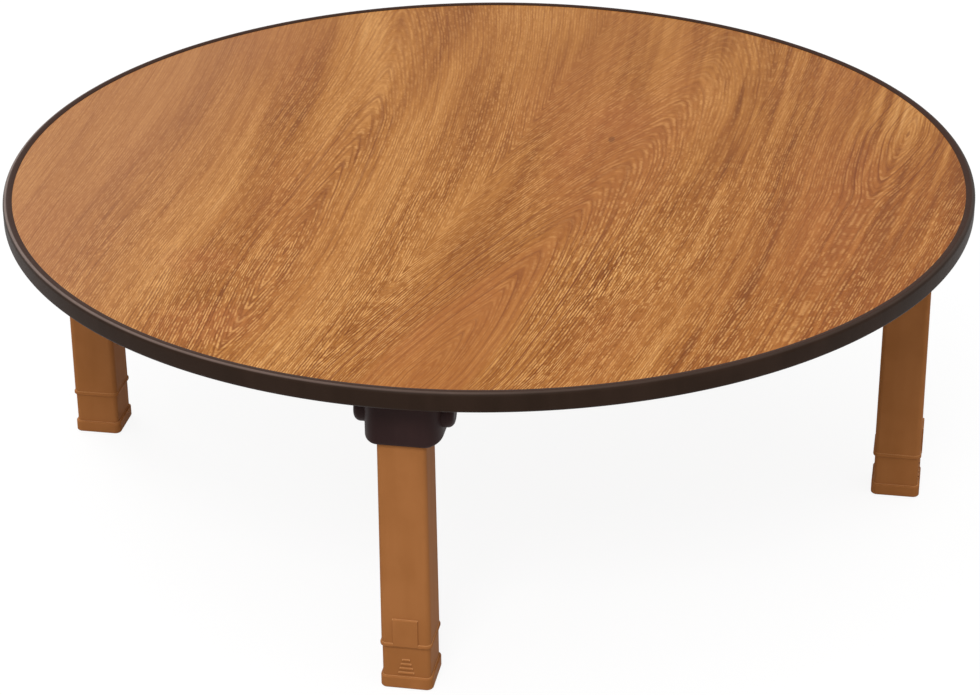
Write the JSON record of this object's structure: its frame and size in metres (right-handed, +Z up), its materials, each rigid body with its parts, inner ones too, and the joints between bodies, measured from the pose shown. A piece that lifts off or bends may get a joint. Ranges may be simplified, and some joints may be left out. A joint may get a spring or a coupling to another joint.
{
  "type": "folding low table",
  "caption": "Round low dining table for floor seating: wood-grain top in a dark plastic edge, square legs that fold flat under the top.",
  "frame": {"origin": "on the floor under the middle of the table top, with the legs upright", "axes": "+Z up through the middle of the top; the four legs stand on the X and Y axes, the front leg at -Y"},
  "size_m": [0.8, 0.8, 0.272],
  "materials": {
    "fibreboard": "raw fibreboard, hidden by its laminates",
    "laminate": "embossed wood-grain laminate, golden to reddish brown, satin",
    "backing": "plain brown backing sheet, matt",
    "edge_plastic": "dark brown soft plastic edging, satin",
    "bracket_plastic": "dark brown moulded plastic, satin",
    "leg_plastic": "mid brown moulded plastic, satin",
    "head_plastic": "dark moulded plastic, satin",
    "bush_plastic": "natural acetal, smooth",
    "pad_rubber": "black rubber, matt",
    "zinc_steel": "zinc plated steel",
    "spring_steel": "oiled spring steel"
  },
  "bodies": {
    "table_top": {"board_core": "fibreboard", "top_laminate": "laminate", "backing_sheet": "backing", "edge_moulding": "edge_plastic", "front_bracket": "bracket_plastic", "front_bracket_screws": "zinc_steel", "front_leaf_spring": "spring_steel", "front_pivot_pin": "zinc_steel", "front_retaining_ring": "spring_steel", "front_pin_plugs": "bracket_plastic", "right_bracket": "bracket_plastic", "right_bracket_screws": "zinc_steel", "right_leaf_spring": "spring_steel", "right_pivot_pin": "zinc_steel", "right_retaining_ring": "spring_steel", "right_pin_plugs": "bracket_plastic", "back_bracket": "bracket_plastic", "back_bracket_screws": "zinc_steel", "back_leaf_spring": "spring_steel", "back_pivot_pin": "zinc_steel", "back_retaining_ring": "spring_steel", "back_pin_plugs": "bracket_plastic", "left_bracket": "bracket_plastic", "left_bracket_screws": "zinc_steel", "left_leaf_spring": "spring_steel", "left_pivot_pin": "zinc_steel", "left_retaining_ring": "spring_steel", "left_pin_plugs": "bracket_plastic"},
    "front_leg": {"front_leg_head": "head_plastic", "front_pivot_bushes": "bush_plastic", "front_leg_tube": "leg_plastic", "front_head_screws": "zinc_steel", "front_foot": "leg_plastic", "front_foot_pad": "pad_rubber"},
    "right_leg": {"right_leg_head": "head_plastic", "right_pivot_bushes": "bush_plastic", "right_leg_tube": "leg_plastic", "right_head_screws": "zinc_steel", "right_foot": "leg_plastic", "right_foot_pad": "pad_rubber"},
    "back_leg": {"back_leg_head": "head_plastic", "back_pivot_bushes": "bush_plastic", "back_leg_tube": "leg_plastic", "back_head_screws": "zinc_steel", "back_foot": "leg_plastic", "back_foot_pad": "pad_rubber"},
    "left_leg": {"left_leg_head": "head_plastic", "left_pivot_bushes": "bush_plastic", "left_leg_tube": "leg_plastic", "left_head_screws": "zinc_steel", "left_foot": "leg_plastic", "left_foot_pad": "pad_rubber"}
  },
  "joints": [
    {"name": "front_leg_fold", "type": "hinge", "parent": "table_top", "child": "front_leg", "pos_m": [0, -0.3515, 0.231], "axis": [1, 0, 0], "range_deg": [0, 90], "deforming": ["front_leaf_spring"]},
    {"name": "right_leg_fold", "type": "hinge", "parent": "table_top", "child": "right_leg", "pos_m": [0.3515, 0, 0.231], "axis": [0, 1, 0], "range_deg": [0, 90], "deforming": ["right_leaf_spring"]},
    {"name": "back_leg_fold", "type": "hinge", "parent": "table_top", "child": "back_leg", "pos_m": [0, 0.3515, 0.231], "axis": [-1, 0, 0], "range_deg": [0, 90], "deforming": ["back_leaf_spring"]},
    {"name": "left_leg_fold", "type": "hinge", "parent": "table_top", "child": "left_leg", "pos_m": [-0.3515, 0, 0.231], "axis": [0, -1, 0], "range_deg": [0, 90], "deforming": ["left_leaf_spring"]}
  ]
}
